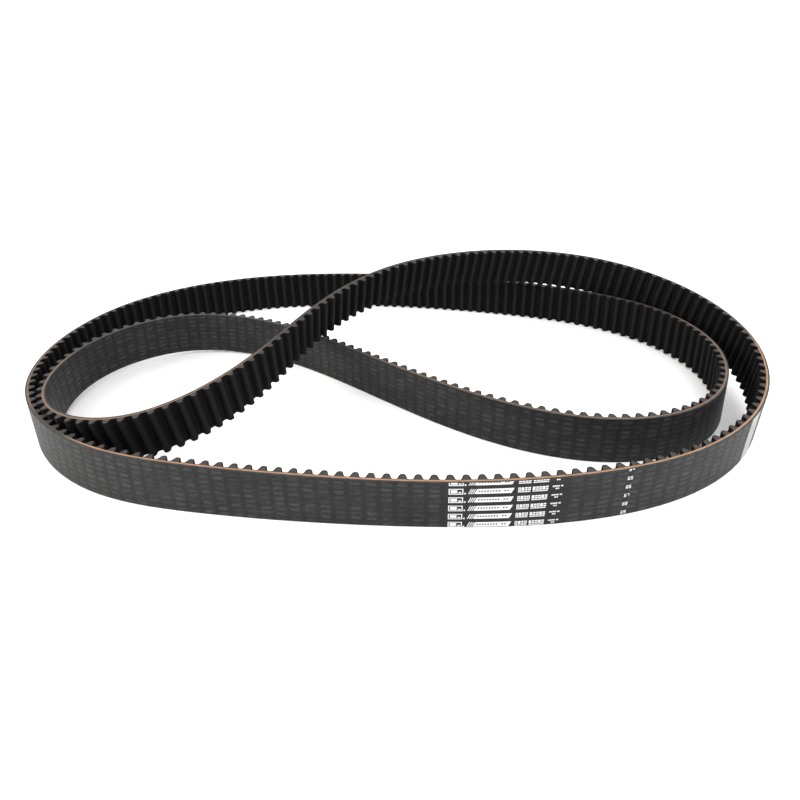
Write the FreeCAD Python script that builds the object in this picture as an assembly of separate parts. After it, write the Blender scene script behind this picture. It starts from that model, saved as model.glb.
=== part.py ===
"""Endless rubber timing belt, 14 mm pitch, standing on its lower cut edge in a free loop.

The belt is described as a ribbon: a closed centre line, and at each place on it a
direction across the width and one towards the teeth. Everything is placed by three
numbers: how far along the loop, how far across the width, and the level through the
thickness, counted from the pitch line. Millimetres, +Z up, origin on the floor in the
middle of the loop.
"""
import FreeCAD, Part

import bisect
import math
import os

os.makedirs("parts", exist_ok=True)

Vector = FreeCAD.Vector

# The belt's standard sizes.
TOOTH_PITCH = 14.0
TOOTH_COUNT = 309
PITCH_LENGTH = TOOTH_PITCH * TOOTH_COUNT
BELT_WIDTH = 55.0
EDGE = BELT_WIDTH / 2

# Levels through the thickness: 0 is the pitch line, and the teeth are on the plus side.
BACK_LEVEL = -2.6
CORD_RADIUS = 0.95
LAND_LEVEL = 1.4
TIP_LEVEL = 7.4
FACING_THICKNESS = LAND_LEVEL - CORD_RADIUS

# Half widths of a tooth along the belt, outside the fabric facing and inside it: at its
# root, at the shoulders that its flanks round towards, and at the top of its crown. A foot
# pull is how far the flank's first handle lies from its foot, along and up.
ROOT_HALF = 5.3
SHOULDER_HALF = 3.9
CROWN_HALF = 0.8
FOOT_PULL = (1.8, 0.0)
CORE_ROOT_HALF = 4.9
CORE_SHOULDER_HALF = 3.15
CORE_CROWN_HALF = 0.75
CORE_FOOT_PULL = (1.5, 0.5)

# The load cords: an S-laid and a Z-laid one, wound side by side from edge to edge, and
# what the slitting knife left of their neighbours along each cut edge.
CORD_TURNS = 9
CUT_CORD_WIDTH = 1.05
BED_EDGE = EDGE - CUT_CORD_WIDTH
LAST_WINDING = BED_EDGE - CORD_RADIUS - 0.2
WINDING_SPACING = 2 * LAST_WINDING / (2 * CORD_TURNS + 1)
CORD_LEAD = 2 * WINDING_SPACING
S_CORD_START = -LAST_WINDING
Z_CORD_START = -LAST_WINDING + WINDING_SPACING

# The printed marks on the back, in rows along the belt. The sleeve is printed before it is
# slit, so the top row is cut through by the edge. Each mark has its place along the loop.
INK = 0.06
PRINT_ROWS = 6
PRINT_ROW_PITCH = 10.25
PRINT_LOWEST_ROW = -24.0
PRINT_HALF = 2.9
PRINT_SLANT = 2.4
EMBLEM_START = 362.4
EMBLEM_LENGTH = 12.8
EMBLEM_HALF = 3.4
SLASH_START = 379.4
SLASH_STEP = 1.85
SLASH_LENGTH = 0.9
BAR_START = 384.9
BAR_LENGTH = 32.4
SIZE_GROUPS = ((423.0, 4), (435.8, 5))
SIZE_STEP = 2.9
SIZE_BLOCK = 2.3
NOTE_START = 453.5
FIGURES_START = 523.6
FIGURE_STEP = 2.8
FIGURE_LENGTH = 2.1

# The blank paper label round the back, at the right end of the loop.
LABEL_START = 686.0
LABEL_LENGTH = 22.0
LABEL_HALF = 27.2
PAPER = 0.12

# The loop that the belt springs into when it is laid down, as places on its centre line:
# x, y, how far its lower edge is above the floor, and its lean towards the teeth in
# degrees. It starts at the left of the front strand and turns left at the right end.
STATIONS = [
    (-316, -194, 0, 3),
    (-202, -228, 0, 1),
    (-83, -245, 0, -2),
    (37, -254, 0, -4),
    (157, -249, 0, -2),
    (273, -219, 0, -2),
    (370, -150, 3, -2),
    (421, -42, 13, -3),
    (397, 72, 29, -6),
    (308, 146, 48, 4),
    (190, 163, 63, 13),
    (73, 139, 70, 16),
    (-33, 83, 67, 16),
    (-113, -4, 52, 13),
    (-177, -104, 31, 5),
    (-276, -167, 13, 8),
    (-380, -126, 7, 6),
    (-394, -12, 9, -4),
    (-311, 72, 6, 0),
    (-195, 67, 1, 2),
    (-91, 6, 0, 0),
    (3, -68, 0, 0),
    (103, -135, 0, 0),
    (217, -169, 0, -2),
    (330, -135, 0, 1),
    (386, -32, 2, 3),
    (355, 82, 1, 0),
    (261, 156, 0, 3),
    (150, 197, 0, -4),
    (32, 222, 0, 0),
    (-87, 235, 0, 0),
    (-207, 230, 0, 0),
    (-320, 192, 1, -1),
    (-406, 111, 3, 0),
    (-439, -2, 3, -1),
    (-407, -116, 3, 1),
]
STATION_COUNT = len(STATIONS)
LAST_STATION = CORD_TURNS * STATION_COUNT

# The endless cover and the teeth are given by the span that they lie in, in order round
# the belt, so that each span keeps its own open collision shape.
SPANS = [
    "front_left",
    "front_right",
    "right_outer_turn",
    "arch",
    "bridge",
    "left_inner_turn",
    "crossing",
    "inner_front",
    "right_inner_turn",
    "back_right",
    "back_left",
    "left_outer_turn",
]
STATIONS_PER_SPAN = STATION_COUNT // len(SPANS)


# ---------------------------------------------------------------- the loop

def smooth_slopes(values):
    """Slopes of the closed smooth curve through evenly spaced values."""
    count = len(values)
    slopes = [0.0] * count
    for _ in range(60):
        for i in range(count):
            rise = 3 * (values[(i + 1) % count] - values[i - 1])
            slopes[i] = (rise - slopes[i - 1] - slopes[(i + 1) % count]) / 4
    return slopes


CHANNELS = [[float(station[i]) for station in STATIONS] for i in range(4)]
SLOPES = [smooth_slopes(channel) for channel in CHANNELS]


def channel_at(channel, t):
    """Value and slope of one station channel at t, counted in stations."""
    i = int(math.floor(t))
    f = t - i
    a = i % STATION_COUNT
    b = (i + 1) % STATION_COUNT
    p, q = CHANNELS[channel][a], CHANNELS[channel][b]
    m, n = SLOPES[channel][a], SLOPES[channel][b]
    bend = 3 * (q - p) - 2 * m - n
    twist = 2 * (p - q) + m + n
    value = p + f * (m + f * (bend + f * twist))
    slope = m + f * (2 * bend + 3 * f * twist)
    return value, slope


def centre_and_heading(t):
    """Unscaled point on the centre line, and its rate of change per station."""
    x, dx = channel_at(0, t)
    y, dy = channel_at(1, t)
    z, dz = channel_at(2, t)
    return Vector(x, y, z + EDGE), Vector(dx, dy, dz)


# Length along the loop against t, and the scale that makes it exactly the pitch length.
STEPS = 100
LENGTHS = [0.0]
for step in range(STATION_COUNT * STEPS):
    middle = (step + 0.5) / STEPS
    LENGTHS.append(LENGTHS[-1] + centre_and_heading(middle)[1].Length / STEPS)
SCALE = PITCH_LENGTH / LENGTHS[-1]


def t_at(length):
    """Place on the loop, in stations, of a length along the pitch line."""
    laps = math.floor(length / PITCH_LENGTH)
    wanted = (length - laps * PITCH_LENGTH) / SCALE
    i = min(bisect.bisect_right(LENGTHS, wanted) - 1, len(LENGTHS) - 2)
    part = (wanted - LENGTHS[i]) / (LENGTHS[i + 1] - LENGTHS[i])
    return laps * STATION_COUNT + (i + part) / STEPS


def length_at(t):
    """Length along the pitch line at a station number."""
    return LENGTHS[int(round(t * STEPS))] * SCALE


def loose_place(t, across, level):
    """Point of the belt at t, before the origin is moved under the middle of the loop."""
    centre, heading = centre_and_heading(t)
    centre = Vector(centre.x * SCALE, centre.y * SCALE, centre.z)
    along = heading.normalize()
    upright = Vector(0, 0, 1) - along * along.z
    upright = upright.normalize()
    lean = math.radians(channel_at(3, t)[0])
    width_way = upright * math.cos(lean) + upright.cross(along) * math.sin(lean)
    tooth_way = width_way.cross(along)
    return centre + width_way * across + tooth_way * level


def middle_of_floor():
    """Point on the floor under the middle of the loop's box."""
    corners = [loose_place(i / STEPS, side, level)
               for i in range(STATION_COUNT * STEPS)
               for side in (-EDGE, EDGE)
               for level in (BACK_LEVEL, TIP_LEVEL)]
    xs = [corner.x for corner in corners]
    ys = [corner.y for corner in corners]
    lowest = min(corner.z for corner in corners)
    return Vector((min(xs) + max(xs)) / 2, (min(ys) + max(ys)) / 2, lowest)


ORIGIN = middle_of_floor()


def place(t, across, level):
    """Point of the belt at t, across its width and at a level through its thickness."""
    return loose_place(t, across, level) - ORIGIN


# ---------------------------------------------------------------- surfaces and solids

def curve(poles):
    """Edge along a smooth curve, straight when it has two poles."""
    if len(poles) == 2:
        return Part.makeLine(poles[0], poles[1])
    bezier = Part.BezierCurve()
    bezier.setPoles(poles)
    return bezier.toShape()


def rail(t0, t1, across0, across1, level):
    """Edge that follows the belt at one level, while its place across may drift."""
    nudge = 1e-4

    def point(t):
        return place(t, across0 + (across1 - across0) * (t - t0) / (t1 - t0), level)

    def pull(t):
        return (point(t + nudge) - point(t - nudge)) * ((t1 - t0) / (6 * nudge))

    start, end = point(t0), point(t1)
    return curve([start, start + pull(t0), end - pull(t1), end])


def make_solid(faces):
    """Closed solid from faces that meet edge to edge."""
    shell = Part.makeShell(faces)
    shell.sewShape()
    solid = Part.makeSolid(shell)
    if solid.Volume < 0:
        solid.reverse()
    return solid


def flat_face(corners):
    """Flat face through corners."""
    return Part.Face(Part.makePolygon(corners + corners[:1]))


def ribbon_bar(ts, left, right, low, high):
    """Solid bar that follows the belt through the places ts.

    left and right give its sides across the width at each place, and low and high are
    its levels. It is a closed ring when it ends where it starts.
    """
    faces = []
    for i in range(len(ts) - 1):
        t0, t1 = ts[i], ts[i + 1]
        rails = [
            rail(t0, t1, left[i], left[i + 1], low),
            rail(t0, t1, right[i], right[i + 1], low),
            rail(t0, t1, right[i], right[i + 1], high),
            rail(t0, t1, left[i], left[i + 1], high),
        ]
        for j in range(4):
            faces.append(Part.makeRuledSurface(rails[j], rails[(j + 1) % 4]))
    is_ring = ts[-1] - ts[0] == STATION_COUNT and left[0] == left[-1] and right[0] == right[-1]
    if not is_ring:
        for i in (0, -1):
            faces.append(flat_face([
                place(ts[i], left[i], low),
                place(ts[i], right[i], low),
                place(ts[i], right[i], high),
                place(ts[i], left[i], high),
            ]))
    return make_solid(faces)


def straight_bar(ts, left, right, low, high):
    """Bar with the same sides all the way."""
    return ribbon_bar(ts, [left] * len(ts), [right] * len(ts), low, high)


def export(name, solids):
    """Write one node."""
    shape = solids[0] if len(solids) == 1 else Part.makeCompound(solids)
    shape.exportStep("parts/" + name + ".step")


# ---------------------------------------------------------------- cover

def cover_span(index):
    """Rubber back of one span."""
    first = index * STATIONS_PER_SPAN
    ts = [first + i for i in range(STATIONS_PER_SPAN + 1)]
    return straight_bar(ts, -EDGE, EDGE, BACK_LEVEL, -CORD_RADIUS)


# ---------------------------------------------------------------- load cords

def drifting(start_across, first, last):
    """Stations from first to last along a winding, and how far across it is at each."""
    ts = list(range(first, last + 1))
    return ts, [start_across + CORD_LEAD * t / STATION_COUNT for t in ts]


def cord_bar(ts, left, right):
    """Bar of the cords' thickness."""
    return ribbon_bar(ts, left, right, -CORD_RADIUS, CORD_RADIUS)


def load_cord(start_across):
    """One cord, wound as a flat screw round the whole belt."""
    ts, middles = drifting(start_across, 0, LAST_STATION)
    return cord_bar(ts, [u - CORD_RADIUS for u in middles], [u + CORD_RADIUS for u in middles])


def cut_cord(side):
    """What is left of a sliced winding, flush with a cut edge."""
    sides = sorted([side * BED_EDGE, side * EDGE])
    ts = list(range(STATION_COUNT + 1))
    return straight_bar(ts, sides[0], sides[1], -CORD_RADIUS, CORD_RADIUS)


def cord_bed():
    """Rubber between the windings, and beside the cut edges a wedge that runs to nothing."""
    gap = WINDING_SPACING - CORD_RADIUS
    strips = []
    for start, last in ((S_CORD_START, LAST_STATION), (Z_CORD_START, LAST_STATION - STATION_COUNT)):
        ts, middles = drifting(start, 0, last)
        left = [u + CORD_RADIUS for u in middles]
        right = [u + gap for u in middles]
        strips.append(cord_bar(ts, left, right))
    ts, middles = drifting(S_CORD_START, 1, STATION_COUNT)
    strips.append(cord_bar(ts, [-BED_EDGE] * len(ts), [u - CORD_RADIUS for u in middles]))
    ts, middles = drifting(Z_CORD_START, LAST_STATION - STATION_COUNT, LAST_STATION - 1)
    strips.append(cord_bar(ts, [u + CORD_RADIUS for u in middles], [BED_EDGE] * len(ts)))
    return strips


# ---------------------------------------------------------------- teeth and their facing

def tooth_curves(k, across, halves, foot, tip, foot_pull):
    """Flank, crown and flank of tooth k at one place across the width.

    halves are the half widths at the root, the shoulders and the crown, foot and tip are
    levels, and foot_pull is where the flank's first handle lies from its foot.
    """
    root, shoulder, crown = halves
    here = k * TOOTH_PITCH

    def point(x, level):
        return place(t_at(here + x), across, level)

    rising = [(-root, foot), (-root + foot_pull[0], foot + foot_pull[1]),
              (-shoulder, tip), (-crown, tip)]
    falling = [(-x, level) for x, level in reversed(rising)]
    return [
        curve([point(x, level) for x, level in rising]),
        curve([point(-crown, tip), point(crown, tip)]),
        curve([point(x, level) for x, level in falling]),
    ]


def outer_curves(k, across):
    """Outside of the fabric over tooth k."""
    halves = (ROOT_HALF, SHOULDER_HALF, CROWN_HALF)
    return tooth_curves(k, across, halves, LAND_LEVEL, TIP_LEVEL, FOOT_PULL)


def core_curves(k, across):
    """Inside of the fabric over tooth k, which is the outside of the tooth's rubber."""
    halves = (CORE_ROOT_HALF, CORE_SHOULDER_HALF, CORE_CROWN_HALF)
    tip = TIP_LEVEL - FACING_THICKNESS
    return tooth_curves(k, across, halves, CORD_RADIUS, tip, CORE_FOOT_PULL)


def land_curve(k, across, half, level):
    """Line along the land between tooth k and the next."""
    start = t_at(k * TOOTH_PITCH + half)
    end = t_at((k + 1) * TOOTH_PITCH - half)
    return curve([place(start, across, level), place(end, across, level)])


def end_patch(k, across):
    """End face of a tooth's rubber, blended from its four sides."""
    here = k * TOOTH_PITCH
    rising, crown, falling = core_curves(k, across)
    left = rising.Curve.getPoles()
    right = list(reversed(falling.Curve.getPoles()))
    low = place(t_at(here - CORE_ROOT_HALF), across, CORD_RADIUS)
    high = place(t_at(here + CORE_ROOT_HALF), across, CORD_RADIUS)
    grid = []
    for i in range(4):
        f = i / 3
        bottom = low + (high - low) * f
        top = left[3] + (right[3] - left[3]) * f
        row = []
        for j in range(4):
            g = j / 3
            side = left[j] * (1 - f) + right[j] * f
            rise = bottom * (1 - g) + top * g
            corner = (left[0] * (1 - g) + left[3] * g) * (1 - f)
            corner = corner + (right[0] * (1 - g) + right[3] * g) * f
            row.append(side + rise - corner)
        grid.append(row)
    surface = Part.BezierSurface()
    surface.increase(3, 3)
    for i in range(4):
        for j in range(4):
            surface.setPole(i + 1, j + 1, grid[i][j])
    return surface.toShape()


def tooth(k):
    """Rubber core of tooth k, right across the belt."""
    lower = core_curves(k, -EDGE)
    upper = core_curves(k, EDGE)
    faces = [Part.makeRuledSurface(a, b) for a, b in zip(lower, upper)]
    here = k * TOOTH_PITCH
    foot = [curve([place(t_at(here - CORE_ROOT_HALF), side, CORD_RADIUS),
                   place(t_at(here + CORE_ROOT_HALF), side, CORD_RADIUS)])
            for side in (-EDGE, EDGE)]
    faces.append(Part.makeRuledSurface(foot[0], foot[1]))
    faces.append(end_patch(k, -EDGE))
    faces.append(end_patch(k, EDGE))
    return make_solid(faces)


def facing():
    """Woven fabric over every tooth and land, one endless skin."""
    faces = []
    for k in range(TOOTH_COUNT):
        outside, inside = {}, {}
        for side in (-EDGE, EDGE):
            outside[side] = outer_curves(k, side)
            outside[side].append(land_curve(k, side, ROOT_HALF, LAND_LEVEL))
            inside[side] = core_curves(k, side)
            inside[side].append(land_curve(k, side, CORE_ROOT_HALF, CORD_RADIUS))
            for a, b in zip(outside[side], inside[side]):
                faces.append(Part.makeRuledSurface(a, b))
        for skin in (outside, inside):
            for a, b in zip(skin[-EDGE], skin[EDGE]):
                faces.append(Part.makeRuledSurface(a, b))
    return make_solid(faces)


def teeth_of_span(index):
    """Numbers of the teeth whose middle lies in a span."""
    start = length_at(index * STATIONS_PER_SPAN)
    end = length_at((index + 1) * STATIONS_PER_SPAN)
    return [k for k in range(TOOTH_COUNT) if start <= k * TOOTH_PITCH < end]


# ---------------------------------------------------------------- printed marks and label

def skin_patch(start, end, low, high, slant, thickness):
    """Thin patch on the back, whose upper side is moved along by slant."""
    if high > EDGE:
        slant = slant * (EDGE - low) / (high - low)
        high = EDGE
    ends = [t_at(x) for x in (start, end, start + slant, end + slant)]
    rings = []
    for level in (BACK_LEVEL, BACK_LEVEL - thickness):
        lower = rail(ends[0], ends[1], low, low, level)
        upper = rail(ends[2], ends[3], high, high, level)
        rings.append((lower, upper))
    faces = [Part.makeRuledSurface(lower, upper) for lower, upper in rings]
    faces.append(Part.makeRuledSurface(rings[0][0], rings[1][0]))
    faces.append(Part.makeRuledSurface(rings[0][1], rings[1][1]))
    for t0, t1 in (ends[0::2], ends[1::2]):
        inner, outer = [curve([place(t0, low, level), place(t1, high, level)])
                        for level in (BACK_LEVEL, BACK_LEVEL - thickness)]
        faces.append(Part.makeRuledSurface(inner, outer))
    return make_solid(faces)


def in_every_row(start, length, low, high, slant=0.0):
    """The same patch of ink in every printed row, low and high from the row's middle."""
    middles = [PRINT_LOWEST_ROW + PRINT_ROW_PITCH * row for row in range(PRINT_ROWS)]
    return [skin_patch(start, start + length, middle + low, middle + high, slant, INK)
            for middle in middles
            if middle + low < EDGE]


def emblem_marks():
    """Plain block at the head of each row."""
    return in_every_row(EMBLEM_START, EMBLEM_LENGTH, -EMBLEM_HALF, EMBLEM_HALF)


def slash_marks():
    """Three short slanting strokes in each row."""
    solids = []
    for i in range(3):
        start = SLASH_START + SLASH_STEP * i
        solids += in_every_row(start, SLASH_LENGTH, -PRINT_HALF, PRINT_HALF, PRINT_SLANT)
    return solids


def bar_marks():
    """Long bar with slanting ends in each row."""
    return in_every_row(BAR_START, BAR_LENGTH, -PRINT_HALF, PRINT_HALF, PRINT_SLANT)


def size_marks():
    """Blocks in two groups, and a thin line under each, where a belt's size is written."""
    solids = []
    for start, count in SIZE_GROUPS:
        for i in range(count):
            solids += in_every_row(start + SIZE_STEP * i, SIZE_BLOCK, -0.9, PRINT_HALF)
        length = SIZE_STEP * (count - 1) + SIZE_BLOCK
        solids += in_every_row(start, length, -PRINT_HALF, 1.4 - PRINT_HALF)
    return solids


def note_marks():
    """Two short lines after the size in each row."""
    return in_every_row(NOTE_START, 9.4, 0.9, 2.5) + in_every_row(NOTE_START + 2.8, 3.4, -1.8, -0.3)


def figure_marks():
    """Pair of small blocks in each row, where the running length figures are stamped."""
    solids = []
    for i in range(2):
        solids += in_every_row(FIGURES_START + FIGURE_STEP * i, FIGURE_LENGTH, -1.9, 1.9)
    return solids


def paper_label():
    """Blank label right across the back."""
    return skin_patch(LABEL_START, LABEL_START + LABEL_LENGTH, -LABEL_HALF, LABEL_HALF, 0.0, PAPER)


# ---------------------------------------------------------------- the belt

for index, span in enumerate(SPANS):
    export("cover_" + span, [cover_span(index)])
    export("teeth_" + span, [tooth(k) for k in teeth_of_span(index)])
export("tooth_facing", [facing()])
export("load_cord_s", [load_cord(S_CORD_START)])
export("load_cord_z", [load_cord(Z_CORD_START)])
export("cord_bed", cord_bed())
export("cut_cord_lower", [cut_cord(-1)])
export("cut_cord_upper", [cut_cord(1)])
export("print_emblems", emblem_marks())
export("print_slashes", slash_marks())
export("print_bars", bar_marks())
export("print_size_blocks", size_marks())
export("print_notes", note_marks())
export("print_length_figures", figure_marks())
export("paper_label", [paper_label()])
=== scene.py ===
"""Looks of the timing belt: ribbed rubber back, fabric-faced teeth, cut edges and printed marks.

Everything on the belt is placed by three numbers, as in the CAD model: how far along the
loop, how far across the width, and the level through the thickness. All are in metres.
"""

import math

import bpy
import numpy as np
from mathutils import Matrix, Vector


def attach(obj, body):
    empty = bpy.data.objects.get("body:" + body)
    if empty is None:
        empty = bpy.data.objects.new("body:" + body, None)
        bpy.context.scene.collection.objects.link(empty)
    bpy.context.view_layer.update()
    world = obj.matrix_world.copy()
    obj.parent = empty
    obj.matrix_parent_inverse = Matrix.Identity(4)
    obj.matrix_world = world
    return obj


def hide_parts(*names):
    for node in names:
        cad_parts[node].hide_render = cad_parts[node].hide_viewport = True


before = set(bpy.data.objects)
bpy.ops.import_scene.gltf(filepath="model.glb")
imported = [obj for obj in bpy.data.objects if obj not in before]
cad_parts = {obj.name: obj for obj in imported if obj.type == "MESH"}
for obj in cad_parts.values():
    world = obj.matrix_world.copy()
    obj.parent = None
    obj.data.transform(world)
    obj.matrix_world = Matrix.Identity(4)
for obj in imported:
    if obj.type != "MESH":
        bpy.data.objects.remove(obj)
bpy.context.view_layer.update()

MM = 0.001

# The belt's standard sizes.
PITCH = 14 * MM
TEETH = 309
LENGTH = PITCH * TEETH
EDGE = 27.5 * MM

# Levels through the thickness, from the pitch line, plus towards the teeth.
BACK = -2.6 * MM
CORD = 0.95 * MM
LAND = 1.4 * MM
TIP = 7.4 * MM
FABRIC = LAND - CORD

# Tooth half widths at root, shoulders and crown, and how far the flank's first handle lies
# from its foot, along and up.
HALVES = np.array((5.3, 3.9, 0.8)) * MM
FOOT_PULL = np.array((1.8, 0.0)) * MM

# The dark rim that the fabric and the film of rubber under it show at a cut edge, and how far
# the knife left it proud.
RIM = 0.75 * MM
RIM_HALVES = np.array((4.5, 2.6, 0.6)) * MM
RIM_FOOT_PULL = np.array((1.4, 0.4)) * MM
RIM_PROUD = 0.03 * MM

# Width of what the slitting knife left of the outermost cord turn.
CUT_CORD = 1.05 * MM

# The loop's centre line: x, y, lift of the lower edge, and lean towards the teeth in degrees.
STATIONS = np.array([
    (-0.316, -0.194, 0.000, 3),
    (-0.202, -0.228, 0.000, 1),
    (-0.083, -0.245, 0.000, -2),
    (0.037, -0.254, 0.000, -4),
    (0.157, -0.249, 0.000, -2),
    (0.273, -0.219, 0.000, -2),
    (0.370, -0.150, 0.003, -2),
    (0.421, -0.042, 0.013, -3),
    (0.397, 0.072, 0.029, -6),
    (0.308, 0.146, 0.048, 4),
    (0.190, 0.163, 0.063, 13),
    (0.073, 0.139, 0.070, 16),
    (-0.033, 0.083, 0.067, 16),
    (-0.113, -0.004, 0.052, 13),
    (-0.177, -0.104, 0.031, 5),
    (-0.276, -0.167, 0.013, 8),
    (-0.380, -0.126, 0.007, 6),
    (-0.394, -0.012, 0.009, -4),
    (-0.311, 0.072, 0.006, 0),
    (-0.195, 0.067, 0.001, 2),
    (-0.091, 0.006, 0.000, 0),
    (0.003, -0.068, 0.000, 0),
    (0.103, -0.135, 0.000, 0),
    (0.217, -0.169, 0.000, -2),
    (0.330, -0.135, 0.000, 1),
    (0.386, -0.032, 0.002, 3),
    (0.355, 0.082, 0.001, 0),
    (0.261, 0.156, 0.000, 3),
    (0.150, 0.197, 0.000, -4),
    (0.032, 0.222, 0.000, 0),
    (-0.087, 0.235, 0.000, 0),
    (-0.207, 0.230, 0.000, 0),
    (-0.320, 0.192, 0.001, -1),
    (-0.406, 0.111, 0.003, 0),
    (-0.439, -0.002, 0.003, -1),
    (-0.407, -0.116, 0.003, 1),
])
STATION_COUNT = len(STATIONS)

SPANS = [
    "front_left",
    "front_right",
    "right_outer_turn",
    "arch",
    "bridge",
    "left_inner_turn",
    "crossing",
    "inner_front",
    "right_inner_turn",
    "back_right",
    "back_left",
    "left_outer_turn",
]
STATIONS_PER_SPAN = STATION_COUNT // len(SPANS)

# The moulded pads on the back, in rows along the belt, one pad over each tooth. The film that
# carries the print leaves the back smooth over a stretch.
PAD_ROW = 6.0 * MM
PAD_ROW_START = -0.5 * MM
PAD_RELIEF = 0.12 * MM
PRINT_FIELD = (355 * MM, 471 * MM)
FIELD_FADE = 7 * MM

# Stretches of the cut edges where the sliced cord shows: start, end and how bare it is. A film
# of rubber nearly covers it in between.
NEARLY_COVERED = 0.1
BARE_FADE = 0.05
BARE_STRETCHES = (
    (-0.10, 0.88, 1.0),
    (1.62, 2.05, 0.5),
    (2.45, 3.12, 0.45),
    (4.04, 4.26, 0.4),
    (4.29, 4.60, 1.0),
)


# ---------------------------------------------------------------- the loop

def smooth_slopes(values):
    """Slopes of the closed smooth curve through evenly spaced rows of values."""
    one = np.eye(len(values))
    matrix = 4 * one + np.roll(one, 1, axis=0) + np.roll(one, -1, axis=0)
    rise = 3 * (np.roll(values, -1, axis=0) - np.roll(values, 1, axis=0))
    return np.linalg.solve(matrix, rise)


SLOPES = smooth_slopes(STATIONS)


def channels_at(t):
    """Station values and their slopes at t, counted in stations."""
    i = np.floor(t).astype(int)
    f = (t - i)[..., None]
    a = i % STATION_COUNT
    b = (i + 1) % STATION_COUNT
    p, q, m, n = STATIONS[a], STATIONS[b], SLOPES[a], SLOPES[b]
    bend = 3 * (q - p) - 2 * m - n
    twist = 2 * (p - q) + m + n
    return p + f * (m + f * (bend + f * twist)), m + f * (2 * bend + 3 * f * twist)


STEPS = 100
MIDDLES = (np.arange(STATION_COUNT * STEPS) + 0.5) / STEPS
STRIDES = np.linalg.norm(channels_at(MIDDLES)[1][:, :3], axis=1) / STEPS
LENGTHS = np.concatenate([[0.0], np.cumsum(STRIDES)])
SCALE = LENGTH / LENGTHS[-1]


def loose_place(t, across, level):
    """Points of the belt at t, before the origin is moved under the middle of the loop."""
    values, slopes = channels_at(t)
    centre = values[..., :3] * (SCALE, SCALE, 1.0) + (0.0, 0.0, EDGE)
    along = slopes[..., :3] / np.linalg.norm(slopes[..., :3], axis=-1, keepdims=True)
    upright = np.array((0.0, 0.0, 1.0)) - along * along[..., 2:]
    upright = upright / np.linalg.norm(upright, axis=-1, keepdims=True)
    lean = np.radians(values[..., 3:])
    width_way = upright * np.cos(lean) + np.cross(upright, along) * np.sin(lean)
    tooth_way = np.cross(width_way, along)
    return centre + width_way * across[..., None] + tooth_way * level[..., None]


def middle_of_floor():
    """Point on the floor under the middle of the loop's box."""
    t = np.arange(STATION_COUNT * STEPS) / STEPS
    corners = [loose_place(t, np.full_like(t, side), np.full_like(t, level))
               for side in (-EDGE, EDGE) for level in (BACK, TIP)]
    low = np.concatenate(corners).min(axis=0)
    high = np.concatenate(corners).max(axis=0)
    return np.array(((low[0] + high[0]) / 2, (low[1] + high[1]) / 2, low[2]))


ORIGIN = middle_of_floor()


def place(along, across, level):
    """Points of the belt at lengths along the loop, across its width and at levels."""
    along, across, level = np.broadcast_arrays(along, across, level)
    t = np.interp((along % LENGTH) / SCALE, LENGTHS, np.arange(len(LENGTHS)) / STEPS)
    return loose_place(t, across, level) - ORIGIN


def span_limits(index):
    """Lengths where a span starts and ends, moved to the middle of the nearest land."""
    limits = []
    for i in (index, index + 1):
        length = LENGTHS[i * STATIONS_PER_SPAN * STEPS] * SCALE
        limits.append((math.floor(length / PITCH) + 0.5) * PITCH)
    return limits


# ---------------------------------------------------------------- shapes

def smooth_step(low, high, x):
    """0 below low, 1 above high and smooth between."""
    f = np.clip((x - low) / (high - low), 0, 1)
    return f * f * (3 - 2 * f)


RIPPLE_WAVES = (31 * MM, 47 * MM, 83 * MM, 190 * MM)
PAD_SEED = 3
CORD_SEED = 5
FACING_SEED = 11


def ripple(along, across, seed):
    """Slow unevenness from -1 to 1, the same in every run."""
    rng = np.random.default_rng(seed)
    total = np.zeros(np.broadcast(along, across).shape)
    for wave in RIPPLE_WAVES:
        turns = round(LENGTH / wave)
        phase = rng.uniform(0, 2 * math.pi, 2)
        slant = rng.uniform(20, 70)
        total = total + np.cos(2 * math.pi * turns * along / LENGTH + phase[0] + slant * across)
    return total / len(RIPPLE_WAVES)


def print_field(along):
    """1 where the print's transfer film lay and left the back smooth, else 0."""
    start, end = PRINT_FIELD
    return smooth_step(start, start + FIELD_FADE, along) * smooth_step(-end, FIELD_FADE - end, -along)


def back_level(along, across):
    """Level of the moulded back: pads over the teeth stand a little proud of their grooves."""
    tooth = 0.5 + 0.5 * np.cos(2 * math.pi * along / PITCH)
    row = 0.5 + 0.5 * np.cos(2 * math.pi * (across - PAD_ROW_START) / PAD_ROW)
    pad = smooth_step(0.06, 0.65, tooth) * smooth_step(0.05, 0.7, row)
    pad = pad * (0.8 + 0.2 * ripple(along, across, PAD_SEED))
    pad = pad + (0.7 - pad) * print_field(along)
    return BACK + PAD_RELIEF * (1 - pad)


SHARP_ANGLE = math.radians(38)


def mesh_piece(name, points, faces, belt_uv, material, rise=None):
    """Mesh piece that rides on the belt, with its place along and across as a UV map."""
    mesh = bpy.data.meshes.new(name)
    mesh.from_pydata(points.tolist(), [], faces)
    uv = mesh.uv_layers.new(name="belt")
    corners = np.empty(len(mesh.loops), int)
    mesh.loops.foreach_get("vertex_index", corners)
    uv.data.foreach_set("uv", belt_uv[corners].astype(np.float32).ravel())
    if rise is not None:
        attribute = mesh.attributes.new("rise", "FLOAT", "POINT")
        attribute.data.foreach_set("value", rise.astype(np.float32))
    mesh.materials.append(material)
    mesh.shade_smooth()
    mesh.set_sharp_from_angle(angle=SHARP_ANGLE)
    piece = bpy.data.objects.new(name, mesh)
    bpy.context.scene.collection.objects.link(piece)
    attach(piece, "root")
    return piece


def bar_faces(rings, count, closed=False):
    """Faces of a bar of closed rings, each with count points, and its two end caps."""
    faces = []
    for i in range(rings if closed else rings - 1):
        a, b = i * count, (i + 1) % rings * count
        for j in range(count):
            k = (j + 1) % count
            faces.append((a + j, b + j, b + k, a + k))
    if not closed:
        faces.append(tuple(range(count)))
        faces.append(tuple(reversed(range((rings - 1) * count, rings * count))))
    return faces


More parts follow.
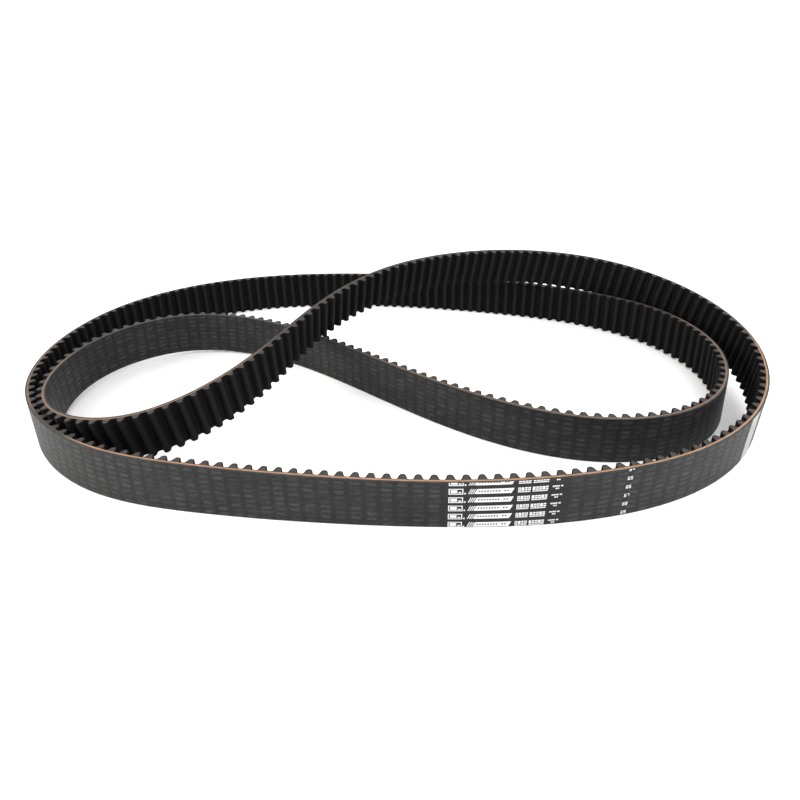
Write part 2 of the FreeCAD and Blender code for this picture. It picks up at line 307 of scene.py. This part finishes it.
def bar(name, along, across, level, path, material, closed=False, rise=None):
    """Bar whose rings lie at along, across and level, each an array of rings by points."""
    rings, count = across.shape
    points = place(along, across, level).reshape(-1, 3)
    uv = np.stack([np.broadcast_to(along, across.shape), np.broadcast_to(path, across.shape)],
                  axis=-1).reshape(-1, 2)
    faces = bar_faces(rings, count, closed)
    return mesh_piece(name, points, faces, uv, material,
                      None if rise is None else rise.reshape(-1))


def bezier(poles, t):
    """Points of a cubic curve."""
    p = np.array(poles)
    t = t[:, None]
    return (p[0] * (1 - t) ** 3 + 3 * p[1] * t * (1 - t) ** 2
            + 3 * p[2] * t ** 2 * (1 - t) + p[3] * t ** 3)


# ---------------------------------------------------------------- materials

class Graph:
    """Short ways to write a material's nodes."""

    def __init__(self, name):
        self.material = bpy.data.materials.new(name)
        self.material.use_nodes = True
        self.tree = self.material.node_tree
        self.tree.nodes.clear()

    def node(self, kind, inputs=(), **settings):
        """A node with its settings and inputs, which are values or other nodes' outputs."""
        made = self.tree.nodes.new(kind)
        for key, value in settings.items():
            setattr(made, key, value)
        for key, value in dict(inputs).items():
            if isinstance(value, bpy.types.NodeSocket):
                self.tree.links.new(value, made.inputs[key])
            else:
                made.inputs[key].default_value = value
        return made

    def math(self, operation, *values):
        """Result of a calculation."""
        return self.node("ShaderNodeMath", enumerate(values), operation=operation).outputs[0]

    def step(self, low, high, value):
        """0 below low, 1 above high and smooth between."""
        inputs = {"Value": value, "From Min": low, "From Max": high}
        return self.node("ShaderNodeMapRange", inputs, interpolation_type="SMOOTHSTEP").outputs[0]

    def wave(self, value, length, shift=0.0):
        """Cosine from 0 to 1 with a wave length, highest at shift."""
        turn = self.math("MULTIPLY", self.math("SUBTRACT", value, shift), 2 * math.pi / length)
        return self.math("MULTIPLY_ADD", self.math("COSINE", turn), 0.5, 0.5)

    def belt(self):
        """Place along the loop and across the belt, in metres."""
        uv = self.node("ShaderNodeUVMap", uv_map="belt").outputs[0]
        split = self.node("ShaderNodeSeparateXYZ", {0: uv})
        return split.outputs[0], split.outputs[1]

    def grain(self, x, y, size_x, size_y, detail=3.0):
        """Noise from 0 to 1 whose features are size_x by size_y."""
        inputs = {0: self.math("DIVIDE", x, size_x), 1: self.math("DIVIDE", y, size_y)}
        at = self.node("ShaderNodeCombineXYZ", inputs).outputs[0]
        inputs = {"Vector": at, "Scale": 1.0, "Detail": detail}
        return self.node("ShaderNodeTexNoise", inputs).outputs[0]

    def one_each(self, x, size_x, shift_x, y, size_y, shift_y):
        """A value from 0 to 1 of its own for each cell of a grid."""
        column = self.math("FLOOR", self.math("DIVIDE", self.math("ADD", x, shift_x), size_x))
        line = self.math("FLOOR", self.math("DIVIDE", self.math("ADD", y, shift_y), size_y))
        at = self.node("ShaderNodeCombineXYZ", {0: column, 1: line}).outputs[0]
        noise = self.node("ShaderNodeTexWhiteNoise", {"Vector": at}, noise_dimensions="2D")
        return noise.outputs["Value"]

    def solid_grain(self, size, detail=3.0, stretch=(1.0, 1.0, 1.0)):
        """Noise through space, for pieces with no map of the belt."""
        at = self.node("ShaderNodeTexCoord").outputs["Object"]
        at = self.node("ShaderNodeMapping", {"Vector": at, "Scale": stretch}).outputs[0]
        inputs = {"Vector": at, "Scale": 1 / size, "Detail": detail}
        return self.node("ShaderNodeTexNoise", inputs).outputs[0]

    def mix(self, factor, a, b):
        """Colour between a and b, given as linear red, green and blue, or as outputs."""
        inputs = {"Factor": factor}
        for key, colour in (("A", a), ("B", b)):
            inputs[key] = colour if isinstance(colour, bpy.types.NodeSocket) else (*colour, 1.0)
        made = self.tree.nodes.new("ShaderNodeMix")
        made.data_type = "RGBA"
        sockets = {s.identifier: s for s in made.inputs}
        for key, identifier in (("Factor", "Factor_Float"), ("A", "A_Color"), ("B", "B_Color")):
            value = inputs[key]
            if isinstance(value, bpy.types.NodeSocket):
                self.tree.links.new(value, sockets[identifier])
            else:
                sockets[identifier].default_value = value
        return next(s for s in made.outputs if s.identifier == "Result_Color")

    def finish(self, colour, roughness, height, depth, specular):
        """Ends the material with its colour, roughness, bump and strength of reflection."""
        bump = self.node("ShaderNodeBump", {"Height": height, "Distance": depth, "Strength": 1.0})
        inputs = {"Base Color": colour, "Roughness": roughness, "Normal": bump.outputs[0],
                  "Specular IOR Level": specular}
        shader = self.node("ShaderNodeBsdfPrincipled", inputs)
        out = self.node("ShaderNodeOutputMaterial")
        self.tree.links.new(shader.outputs[0], out.inputs["Surface"])
        return self.material


def back_rubber():
    """Satin black rubber with worn pads, fine lengthways streaks and scuffed edges."""
    g = Graph("cover_rubber")
    s, u = g.belt()
    drift = g.math("MULTIPLY_ADD", g.grain(s, u, 26 * MM, 9 * MM), 4.4 * MM, -2.2 * MM)
    sway = g.math("MULTIPLY_ADD", g.grain(u, s, 9 * MM, 17 * MM), 3.0 * MM, -1.5 * MM)
    tooth = g.wave(g.math("ADD", s, drift), PITCH)
    row = g.wave(g.math("ADD", u, sway), PAD_ROW, PAD_ROW_START)
    pad = g.math("MULTIPLY", g.step(0.0, 0.62, tooth), g.step(0.0, 0.8, row))
    field = g.math("MULTIPLY",
                   g.step(PRINT_FIELD[0], PRINT_FIELD[0] + FIELD_FADE, s),
                   g.math("SUBTRACT", 1.0, g.step(PRINT_FIELD[1] - FIELD_FADE, PRINT_FIELD[1], s)))
    plain = g.math("MULTIPLY_ADD", field, -0.8, 1.0)
    own = g.one_each(s, PITCH, PITCH / 2, u, PAD_ROW, PAD_ROW / 2 - PAD_ROW_START)
    flakes = g.step(0.40, 0.68, g.grain(s, u, 8 * MM, 2.3 * MM, 3.0))
    fine = g.step(0.40, 0.72, g.grain(s, u, 3.4 * MM, 0.9 * MM, 3.0))
    streaks = g.grain(s, u, 6 * MM, 0.45 * MM, 4.0)
    cloud = g.grain(s, u, 70 * MM, 30 * MM)
    light = g.math("MULTIPLY", pad, g.math("MULTIPLY_ADD", g.step(0.1, 1.0, own), 0.36, 0.04))
    light = g.math("MULTIPLY_ADD", flakes, 0.26, light)
    light = g.math("MULTIPLY_ADD", fine, g.math("MULTIPLY_ADD", pad, 0.14, 0.16), light)
    light = g.math("MULTIPLY", light, g.math("MULTIPLY_ADD", g.step(0.3, 0.0, tooth), -0.35, 1.0))
    light = g.math("MULTIPLY", light, plain)
    light = g.math("ADD", light, g.math("MULTIPLY_ADD", streaks, 0.7, -0.38))
    light = g.math("ADD", light, g.math("MULTIPLY_ADD", cloud, 0.5, -0.26))
    edge = g.step(26.3 * MM, 27.5 * MM, g.math("ABSOLUTE", u))
    light = g.math("ADD", light, g.math("MULTIPLY", edge, 0.35))
    tint = g.step(0.35, 0.65, g.grain(s, u, 13 * MM, 11 * MM, 2.0))
    pale = g.mix(tint, (0.0400, 0.0355, 0.0425), (0.0350, 0.0415, 0.0350))
    colour = g.mix(light, (0.0040, 0.0042, 0.0045), pale)
    rough = g.math("MULTIPLY_ADD", streaks, 0.25, 0.44)
    rough = g.math("MULTIPLY_ADD", pad, -0.06, rough)
    pits = g.grain(s, u, 0.5 * MM, 0.35 * MM, 2.0)
    height = g.math("ADD", g.math("MULTIPLY", streaks, 0.7), g.math("MULTIPLY", pits, 0.4))
    height = g.math("ADD", height, g.math("MULTIPLY", flakes, 0.5))
    height = g.math("ADD", height, g.math("MULTIPLY", fine, 0.4))
    return g.finish(colour, rough, height, 0.06 * MM, specular=0.22)


def woven_facing():
    """Black woven nylon, pressed smooth and rubbed on the crowns of the teeth."""
    g = Graph("facing_fabric")
    s, u = g.belt()
    rise = g.node("ShaderNodeAttribute", attribute_name="rise").outputs["Fac"]
    yarn = 0.62 * MM
    warp = g.wave(s, yarn)
    weft = g.wave(u, yarn * 0.8)
    over = g.wave(g.math("ADD", s, u), yarn * 2)
    weave = g.math("ADD", g.math("MULTIPLY", warp, over),
                   g.math("MULTIPLY", weft, g.math("SUBTRACT", 1.0, over)))
    dust = g.grain(s, u, 18 * MM, 9 * MM)
    rub = g.math("MULTIPLY", g.step(0.8, 1.0, rise), g.math("MULTIPLY_ADD", dust, 0.9, 0.25))
    colour = g.mix(weave, (0.0042, 0.0040, 0.0042), (0.0086, 0.0080, 0.0082))
    colour = g.mix(rub, colour, (0.0112, 0.0105, 0.0102))
    rough = g.math("MULTIPLY_ADD", rub, -0.12, 0.76)
    rough = g.math("MULTIPLY_ADD", dust, 0.1, rough)
    return g.finish(colour, rough, weave, 0.07 * MM, specular=0.05)


def cut_rubber():
    """Grey-brown rubber of the teeth where the knife went through."""
    g = Graph("tooth_rubber")
    cloud = g.solid_grain(5 * MM)
    crumbs = g.solid_grain(0.5 * MM, 4.0)
    scores = g.solid_grain(0.35 * MM, 2.0, (0.25, 1.0, 4.0))
    shade = g.math("ADD", g.math("MULTIPLY", cloud, 0.5), g.math("MULTIPLY", crumbs, 0.5))
    colour = g.mix(shade, (0.0105, 0.0094, 0.0098), (0.0425, 0.0365, 0.0355))
    rough = g.math("MULTIPLY_ADD", crumbs, 0.25, 0.5)
    height = g.math("ADD", crumbs, scores)
    return g.finish(colour, rough, height, 0.08 * MM, specular=0.3)


def cord_fibre():
    """Tan cord yarns sliced at a slant, under black rubber where the knife ran between cords."""
    g = Graph("load_cord")
    s, u = g.belt()
    slant = g.math("ADD", s, g.math("MULTIPLY", u, 1.6))
    yarns = g.wave(slant, 1.3 * MM)
    threads = g.grain(slant, u, 0.28 * MM, 0.9 * MM, 3.0)
    blotch = g.grain(s, u, 16 * MM, 30 * MM, 3.0)
    light = g.math("ADD", g.math("MULTIPLY", threads, 0.55), g.math("MULTIPLY", blotch, 0.45))
    pink = g.step(0.4, 0.6, g.grain(s, u, 55 * MM, 60 * MM, 2.0))
    pale = g.mix(pink, (0.43, 0.242, 0.128), (0.41, 0.245, 0.155))
    colour = g.mix(g.step(0.3, 0.7, light), (0.22, 0.117, 0.064), pale)
    colour = g.mix(g.step(0.22, 0.0, yarns), colour, (0.10, 0.052, 0.032))
    bare = NEARLY_COVERED
    for start, end, share in BARE_STRETCHES:
        within = g.math("SUBTRACT", 1.0, g.step(end - BARE_FADE, end, s))
        within = g.math("MULTIPLY", within, g.step(start, start + BARE_FADE, s))
        bare = g.math("MAXIMUM", bare, g.math("MULTIPLY", within, share))
    colour = g.mix(bare, (0.031, 0.029, 0.025), colour)
    rough = g.math("MULTIPLY_ADD", threads, 0.2, 0.62)
    height = g.math("ADD", yarns, threads)
    return g.finish(colour, rough, height, 0.06 * MM, specular=0.3)


def inner_layer(name, colour_a, colour_b):
    """Finish of a layer that is closed in, seen only when the belt is taken apart."""
    g = Graph(name)
    strands = g.solid_grain(0.8 * MM, 3.0, (1.0, 1.0, 2.5))
    cloud = g.solid_grain(12 * MM)
    light = g.math("ADD", g.math("MULTIPLY", strands, 0.6), g.math("MULTIPLY", cloud, 0.4))
    colour = g.mix(light, colour_a, colour_b)
    rough = g.math("MULTIPLY_ADD", strands, 0.25, 0.55)
    return g.finish(colour, rough, strands, 0.08 * MM, specular=0.35)


def white_ink():
    """White marking ink, thin in places so that the rubber shows through."""
    g = Graph("white_ink")
    s, u = g.belt()
    cloud = g.grain(s, u, 2.6 * MM, 1.3 * MM, 3.0)
    pinholes = g.step(0.66, 0.74, g.grain(s, u, 0.35 * MM, 0.3 * MM, 2.0))
    thin = g.math("MAXIMUM", g.math("MULTIPLY", g.step(0.5, 0.85, cloud), 0.35), pinholes)
    colour = g.mix(thin, (0.56, 0.565, 0.58), (0.13, 0.13, 0.14))
    rough = g.math("MULTIPLY_ADD", cloud, 0.2, 0.5)
    return g.finish(colour, rough, cloud, 0.02 * MM, specular=0.4)


def label_paper():
    """Plain uncoated paper, a little soiled, with painted shade in stripes across it."""
    g = Graph("label_paper")
    s, u = g.belt()
    fibres = g.grain(s, u, 0.5 * MM, 0.4 * MM, 4.0)
    soil = g.grain(s, u, 11 * MM, 8 * MM, 3.0)
    # Painted shade: patchy dark stripes across the label every 4.4 mm, with no ribs in its shape to
    # cast them.
    rib_shade = g.math("MULTIPLY", g.wave(s, 4.4 * MM), g.step(0.2, 0.6, g.grain(s, u, 3 * MM, 14 * MM)))
    colour = g.mix(g.step(0.35, 0.8, soil), (0.33, 0.345, 0.325), (0.24, 0.25, 0.23))
    colour = g.mix(g.math("MULTIPLY", rib_shade, 0.6), colour, (0.15, 0.16, 0.15))
    colour = g.mix(g.math("MULTIPLY", fibres, 0.25), colour, (0.20, 0.21, 0.195))
    rough = g.math("MULTIPLY_ADD", fibres, 0.2, 0.6)
    return g.finish(colour, rough, fibres, 0.02 * MM, specular=0.4)


BACK_RUBBER = back_rubber()
FACING = woven_facing()
CUT_RUBBER = cut_rubber()
CORD_FIBRE = cord_fibre()
INK = white_ink()
PAPER = label_paper()
INNER_CORD = inner_layer("inner_cord", (0.26, 0.15, 0.09), (0.55, 0.36, 0.24))
INNER_RUBBER = inner_layer("inner_rubber", (0.012, 0.012, 0.012), (0.035, 0.034, 0.033))


# ---------------------------------------------------------------- the rubber back

BACK_STEPS_PER_PITCH = 10
BACK_COLUMNS = 56
BACK_SIDE_PATH = np.array((0.0, 0.8, 1.6)) * MM
CHAMFER = 0.2 * MM


def back_span(index):
    """Rubber back of one span, with its moulded pads and crisp cut edges."""
    start, end = span_limits(index)
    rings = round((end - start) / PITCH * BACK_STEPS_PER_PITCH) + 1
    along = np.linspace(start, end, rings)[:, None]
    inner_edge = EDGE - CHAMFER
    columns = np.linspace(-inner_edge, inner_edge, BACK_COLUMNS)
    row = np.concatenate([columns, [EDGE] * 3, [-EDGE] * 3])
    face = back_level(along, columns[None, :])
    middle = np.full((rings, 1), (BACK - CORD) / 2)
    inside = np.full((rings, 2), -CORD)
    level = np.concatenate([face, face[:, -1:] + CHAMFER, middle, inside, middle,
                            face[:, :1] + CHAMFER], axis=1)
    path = np.concatenate([columns, EDGE + BACK_SIDE_PATH, -EDGE - BACK_SIDE_PATH[::-1]])
    piece = bar("back_" + SPANS[index], along, np.broadcast_to(row, level.shape), level,
                path[None, :], BACK_RUBBER)
    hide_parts("cover_" + SPANS[index])


# ---------------------------------------------------------------- the facing

FLANK_STEPS = 9
FACING_COLUMNS = np.array((-27.5, -27.2, -24, -16, -8, 0, 8, 16, 24, 27.2, 27.5)) * MM
FACING_WAVER = 0.05 * MM


def tooth_outline(halves, foot, tip, pull):
    """Outline from the middle of a land, over one tooth, to the middle of the next land."""
    root, shoulder, crown = halves
    rising = [(-root, foot), (-root + pull[0], foot + pull[1]), (-shoulder, tip), (-crown, tip)]
    flank = bezier(rising, np.linspace(0, 1, FLANK_STEPS))
    half_land = np.array([(-PITCH / 2, foot), (-(PITCH / 2 + root) / 2, foot)])
    left = np.concatenate([half_land, flank])
    right = left[::-1] * (-1, 1)
    return np.concatenate([left, [(0.0, tip)], right])


OUTSIDE = tooth_outline(HALVES, LAND, TIP, FOOT_PULL)
INSIDE = tooth_outline(RIM_HALVES, CORD, TIP - RIM, RIM_FOOT_PULL)


def facing_span(index):
    """Woven fabric over the teeth and lands of one span."""
    start, end = span_limits(index)
    teeth = range(math.ceil(start / PITCH), math.ceil(end / PITCH))
    columns = FACING_COLUMNS
    along, level, rise = [], [], []
    for k in teeth:
        first = 0 if k == teeth[0] else 1
        for (x, n), (inner_x, inner_n) in zip(OUTSIDE[first:], INSIDE[first:]):
            waver = FACING_WAVER * (ripple(k * PITCH + x, columns, FACING_SEED) - 1)
            lift = (n - LAND) / (TIP - LAND)
            along.append(np.concatenate([np.full(len(columns), k * PITCH + x),
                                         [k * PITCH + inner_x] * 2]))
            level.append(np.concatenate([n + waver * lift, [inner_n] * 2]))
            rise.append(np.concatenate([np.full(len(columns), lift), [0, 0]]))
    along, level, rise = np.array(along), np.array(level), np.array(rise)
    row = np.concatenate([columns, [EDGE, -EDGE]])
    row = row + RIM_PROUD * np.sign(row) * (np.abs(row) >= EDGE)
    across = np.broadcast_to(row, level.shape)
    path = np.concatenate([columns, [EDGE + FABRIC, -EDGE - FABRIC]])
    piece = bar("facing_" + SPANS[index], along, across, level, path[None, :], FACING, rise=rise)
    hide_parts("tooth_facing")


# ---------------------------------------------------------------- the cut cords

CORD_STEPS_PER_PITCH = 16
CORD_LINES = 9
CORD_SUNK = 0.04 * MM
CORD_CROWN = 0.10 * MM
YARN_RELIEF = 0.035 * MM
YARN_SPACING = PITCH / 5
YARN_SLANT = 1.1 * MM
KNIFE_WAVER = 0.03 * MM
WAVER_SLANT = 9


def edge_cord(name, side):
    """Sliced cord along one cut edge: a rounded band of yarns."""
    rings = TEETH * CORD_STEPS_PER_PITCH
    along = (np.arange(rings) * LENGTH / rings)[:, None]
    levels = np.linspace(-CORD, CORD, CORD_LINES)
    crown = CORD_CROWN * (levels[None, :] / CORD) ** 2
    turns = along / YARN_SPACING + levels[None, :] / YARN_SLANT
    yarns = YARN_RELIEF * np.cos(2 * math.pi * turns)
    waver = KNIFE_WAVER * ripple(along, levels[None, :] * WAVER_SLANT, CORD_SEED)
    face = EDGE - CORD_SUNK - crown + yarns - waver
    inner = np.full((rings, 2), EDGE - CUT_CORD)
    across = np.concatenate([face, inner], axis=1) * side
    row = np.concatenate([levels, [CORD, -CORD]])
    level = np.broadcast_to(row, across.shape)
    path = np.concatenate([levels, [CORD + CUT_CORD, -CORD - CUT_CORD]])
    if side > 0:
        across, level, path = across[:, ::-1], level[:, ::-1], path[::-1]
    piece = bar("edge_cord_" + name, along, across, level, path[None, :], CORD_FIBRE, closed=True)
    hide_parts("cut_cord_" + name)


# ---------------------------------------------------------------- printed marks and the label

INK_HEIGHT = 0.04 * MM
LABEL_HEIGHT = 0.11 * MM
MARK_DEPTH = 0.05 * MM
PRINT_ROWS = 6
PRINT_ROW_PITCH = 10.25 * MM
PRINT_LOWEST_ROW = -24.0 * MM
PRINT_HALF = 2.9 * MM
PRINT_SLANT = 2.4 * MM
DASH_SHARE = 0.84
DASH_HEIGHT = 1.3 * MM


class Marks:
    """Thin patches on the back, gathered into one piece."""

    STEP_ALONG = 1.4 * MM
    STEP_ACROSS = 1.0 * MM

    def __init__(self, height):
        self.height = height
        self.points, self.uv, self.faces = [], [], []
        self.count = 0

    def patch(self, start, end, low, high, slant=0.0):
        """Patch from start to end and low to high, whose upper side is moved by slant."""
        if low >= EDGE:
            return
        if high > EDGE:
            slant, high = slant * (EDGE - low) / (high - low), EDGE
        columns = max(2, math.ceil((end - start) / self.STEP_ALONG) + 1)
        rows = max(2, math.ceil((high - low) / self.STEP_ACROSS) + 1)
        a, b = np.meshgrid(np.linspace(0, 1, columns), np.linspace(0, 1, rows))
        along = start + (end - start) * a + slant * b
        across = low + (high - low) * b
        top = back_level(along, across)
        outer = place(along, across, top - self.height).reshape(-1, 3)
        inner = place(along, across, top + MARK_DEPTH).reshape(-1, 3)
        size = columns * rows
        first = self.count
        for j in range(rows - 1):
            for i in range(columns - 1):
                p = first + j * columns + i
                quad = (p, p + columns, p + columns + 1, p + 1)
                self.faces.append(quad)
                self.faces.append(tuple(size + q for q in reversed(quad)))
        rim = list(range(columns))
        rim += [j * columns + columns - 1 for j in range(1, rows)]
        rim += [(rows - 1) * columns + i for i in range(columns - 2, -1, -1)]
        rim += [j * columns for j in range(rows - 2, 0, -1)]
        for p, q in zip(rim, rim[1:] + rim[:1]):
            self.faces.append((first + p, first + q, first + size + q, first + size + p))
        self.points += [outer, inner]
        flat = np.stack([along.ravel(), across.ravel()], axis=-1)
        self.uv += [flat, flat]
        self.count += 2 * size

    def piece(self, name, node, material, slot):
        """The gathered patches as one piece that stands for a CAD node."""
        made = mesh_piece(name, np.concatenate(self.points), self.faces,
                          np.concatenate(self.uv), material)
        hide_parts(node)


ROW_MIDDLES = [PRINT_LOWEST_ROW + PRINT_ROW_PITCH * row for row in range(PRINT_ROWS)]


def emblems():
    """Plain framed block with two strokes in it at the head of each row, and a dot after it."""
    marks = Marks(INK_HEIGHT)
    start = 362.4 * MM
    end = start + 12.8 * MM
    half = 3.4 * MM
    line = 0.9 * MM
    for middle in ROW_MIDDLES:
        low, high = middle - half, middle + half
        marks.patch(start, end, low, low + line)
        marks.patch(start, end, high - line, high)
        marks.patch(start, start + line, low + line, high - line)
        marks.patch(end - line, end, low + line, high - line)
        marks.patch(start + 2 * line, start + 7.6 * MM, middle - 1.8 * MM, middle + 1.8 * MM)
        marks.patch(start + 8.6 * MM, end - 2 * line, middle - 1.8 * MM, middle - 0.4 * MM)
        marks.patch(end + 0.8 * MM, end + 2.3 * MM, low + 0.2 * MM, low + 1.9 * MM)
    marks.piece("ink_emblems", "print_emblems", INK, "white_ink")


def slashes():
    """Three slanting strokes in each row."""
    marks = Marks(INK_HEIGHT)
    first, step, width = 379.4 * MM, 1.85 * MM, 0.9 * MM
    for middle in ROW_MIDDLES:
        for i in range(3):
            start = first + step * i
            marks.patch(start, start + width, middle - PRINT_HALF, middle + PRINT_HALF,
                        PRINT_SLANT)
    marks.piece("ink_slashes", "print_slashes", INK, "white_ink")


def bars():
    """Long slanting bar in each row, with two groups of plain dashes left open in it."""
    marks = Marks(INK_HEIGHT)
    start, end = 384.9 * MM, 417.3 * MM
    slot_low, slot_high = 2.2 * MM, 3.9 * MM
    step, dash = 2.5 * MM, 1.5 * MM
    first_dash = start + 2.2 * MM
    tall = 2 * PRINT_HALF
    for middle in ROW_MIDDLES:
        low = middle - PRINT_HALF
        shift = PRINT_SLANT * slot_low / tall
        marks.patch(start, end, low, low + slot_low, shift)
        left = start
        slant = PRINT_SLANT * (slot_high - slot_low) / tall
        for i in (*range(8), 9, 10):
            dash_start = first_dash + step * i
            marks.patch(left + shift, dash_start + shift, low + slot_low, low + slot_high, slant)
            left = dash_start + dash
        marks.patch(left + shift, end + shift, low + slot_low, low + slot_high, slant)
        shift = PRINT_SLANT * slot_high / tall
        marks.patch(start + shift, end + shift, low + slot_high, low + tall,
                    PRINT_SLANT * (tall - slot_high) / tall)
    marks.piece("ink_bars", "print_bars", INK, "white_ink")


def size_blocks():
    """Two groups of blocks, each split, hollow or full, over a line of thin dashes."""
    marks = Marks(INK_HEIGHT)
    step, width = 2.9 * MM, 2.3 * MM
    half_block, frame_line, side_line = 1.5 * MM, 1.1 * MM, 0.7 * MM
    for middle in ROW_MIDDLES:
        low, high = middle - 0.9 * MM, middle + PRINT_HALF
        for start, count in ((423.0 * MM, 4), (435.8 * MM, 5)):
            for i in range(count):
                left = start + step * i
                kind = (i + count) % 3
                if kind == 0:
                    marks.patch(left, left + width, low, low + half_block)
                    marks.patch(left, left + width, high - half_block, high)
                elif kind == 1:
                    inner_low, inner_high = low + frame_line, high - frame_line
                    marks.patch(left, left + width, low, inner_low)
                    marks.patch(left, left + width, inner_high, high)
                    marks.patch(left, left + side_line, inner_low, inner_high)
                    marks.patch(left + width - side_line, left + width, inner_low, inner_high)
                else:
                    marks.patch(left, left + width, low, high)
            dashes = 2 * count
            dash_step = (step * (count - 1) + width) / dashes
            for i in range(dashes):
                left = start + dash_step * i
                marks.patch(left, left + dash_step * DASH_SHARE, middle - PRINT_HALF,
                            middle - PRINT_HALF + DASH_HEIGHT)
    marks.piece("ink_size_blocks", "print_size_blocks", INK, "white_ink")


def notes():
    """Two short lines of dashes after the size in each row."""
    marks = Marks(INK_HEIGHT)
    upper_start, upper_step, upper_dash = 453.5 * MM, 1.65 * MM, 1.35 * MM
    lower_start, lower_step, lower_dash = 456.3 * MM, 1.8 * MM, 1.4 * MM
    last_start, last_end = 460.9 * MM, 462.9 * MM
    for middle in ROW_MIDDLES:
        low, high = middle + 0.9 * MM, middle + 2.4 * MM
        for i in range(4):
            left = upper_start + upper_step * i
            marks.patch(left, left + upper_dash, low, high)
        marks.patch(last_start, last_end, low, high)
        low, high = middle - 1.8 * MM, middle - 0.4 * MM
        for i in range(2):
            left = lower_start + lower_step * i
            marks.patch(left, left + lower_dash, low, high)
    marks.piece("ink_notes", "print_notes", INK, "white_ink")


# Strokes of each digit: top, upper left, upper right, middle, lower left, lower right, bottom.
DIGIT_STROKES = ("1110111", "0010010", "1011101", "1011011", "0111010",
                 "1101011", "1101111", "1010010", "1111111", "1111011")


def length_figures():
    """Running numbers of two figures, one in each row, in square strokes."""
    marks = Marks(INK_HEIGHT)
    first, step = 523.6 * MM, 2.8 * MM
    width, half, line = 2.1 * MM, 1.9 * MM, 0.62 * MM
    for row, middle in enumerate(ROW_MIDDLES):
        for i, digit in enumerate((6, 9 - row)):
            left = first + step * i
            right = left + width
            low, high = middle - half, middle + half
            strokes = (
                (left, right, high - line, high),
                (left, left + line, middle, high - line),
                (right - line, right, middle, high - line),
                (left, right, middle - line / 2, middle + line / 2),
                (left, left + line, low + line, middle - line / 2),
                (right - line, right, low + line, middle - line / 2),
                (left, right, low, low + line),
            )
            for stroke, on in zip(strokes, DIGIT_STROKES[digit]):
                if on == "1":
                    marks.patch(*stroke)
    marks.piece("ink_length_figures", "print_length_figures", INK, "white_ink")


def label():
    """Blank paper label right across the back."""
    marks = Marks(LABEL_HEIGHT)
    start, length, half = 686.0 * MM, 22.0 * MM, 27.2 * MM
    marks.patch(start, start + length, -half, half)
    marks.piece("blank_label", "paper_label", PAPER, "label_paper")


# ---------------------------------------------------------------- the belt

for span_index in range(len(SPANS)):
    back_span(span_index)
    facing_span(span_index)
edge_cord("lower", -1)
edge_cord("upper", 1)
emblems()
slashes()
bars()
size_blocks()
notes()
length_figures()
label()

CARRIED = {"load_cord_s": INNER_CORD, "load_cord_z": INNER_CORD, "cord_bed": INNER_RUBBER}
CARRIED.update({"teeth_" + span: CUT_RUBBER for span in SPANS})
for node, finish_material in CARRIED.items():
    mesh_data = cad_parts[node].data
    mesh_data.materials.clear()
    mesh_data.materials.append(finish_material)


# ---------------------------------------------------------------- floor, light and camera

FLOOR_HALF = 6.0


def studio_floor():
    """Plain pale floor."""
    g = Graph("studio_floor")
    cloud = g.solid_grain(0.5, 2.0)
    colour = g.mix(cloud, (0.90, 0.90, 0.90), (0.93, 0.93, 0.93))
    material = g.finish(colour, 0.8, cloud, 0.1 * MM, specular=0.2)
    half = FLOOR_HALF
    mesh = bpy.data.meshes.new("studio_floor")
    mesh.from_pydata([(-half, -half, 0), (half, -half, 0), (half, half, 0), (-half, half, 0)],
                     [], [(0, 1, 2, 3)])
    mesh.materials.append(material)
    floor = bpy.data.objects.new("studio_floor", mesh)
    bpy.context.scene.collection.objects.link(floor)


# Soft boxes: place, point aimed at, size, power and colour.
SOFT_BOXES = {
    "key_box": ((0.7, -0.9, 1.7), (0.1, 0.0, 0.0), (1.6, 1.2), 12.0, (1.0, 1.0, 1.0)),
    "left_box": ((-1.7, -0.5, 0.7), (-0.4, 0.0, 0.05), (0.9, 1.0), 22.0, (1.0, 0.97, 0.88)),
    "right_box": ((1.8, -0.7, 0.8), (0.4, 0.0, 0.05), (0.9, 1.0), 16.0, (1.0, 0.99, 0.95)),
}
ROOM_STRENGTH = 1.6


def soft_box(name, place_at, aim_at, size, power, colour):
    """Large soft lamp."""
    lamp = bpy.data.lights.new(name, "AREA")
    lamp.shape = "RECTANGLE"
    lamp.size, lamp.size_y = size
    lamp.energy = power
    lamp.color = colour
    box = bpy.data.objects.new(name, lamp)
    turn = (Vector(place_at) - Vector(aim_at)).to_track_quat("Z", "Y").to_matrix().to_4x4()
    box.matrix_world = Matrix.Translation(place_at) @ turn
    bpy.context.scene.collection.objects.link(box)


def soft_light():
    """White room, with soft boxes over the front right and at both sides."""
    world = bpy.data.worlds.new("white_room")
    world.use_nodes = True
    background = world.node_tree.nodes["Background"]
    background.inputs["Color"].default_value = (1.0, 1.0, 1.0, 1.0)
    background.inputs["Strength"].default_value = ROOM_STRENGTH
    bpy.context.scene.world = world
    for name, settings in SOFT_BOXES.items():
        soft_box(name, *settings)


CAMERA_PLACE = (0.0075, -0.6403, 0.4063)
CAMERA_PITCH = math.radians(24.264)
CAMERA_ROLL = math.radians(-0.982)
CAMERA_YAW = math.radians(0.05)
CAMERA_LENS = 26.11
CAMERA_SHIFT = -0.1252


def camera():
    """Camera in front of the loop, above it and a little to the right of its middle."""
    data = bpy.data.cameras.new("camera")
    data.sensor_width = 36.0
    data.lens = CAMERA_LENS
    data.shift_y = CAMERA_SHIFT
    data.clip_start = 0.01
    view = bpy.data.objects.new("camera", data)
    view.matrix_world = (Matrix.Translation(CAMERA_PLACE)
                         @ Matrix.Rotation(CAMERA_YAW, 4, "Z")
                         @ Matrix.Rotation(math.pi / 2 - CAMERA_PITCH, 4, "X")
                         @ Matrix.Rotation(CAMERA_ROLL, 4, "Z"))
    bpy.context.scene.collection.objects.link(view)
    bpy.context.scene.camera = view


studio_floor()
soft_light()
camera()
bpy.context.scene.view_settings.view_transform = "Standard"
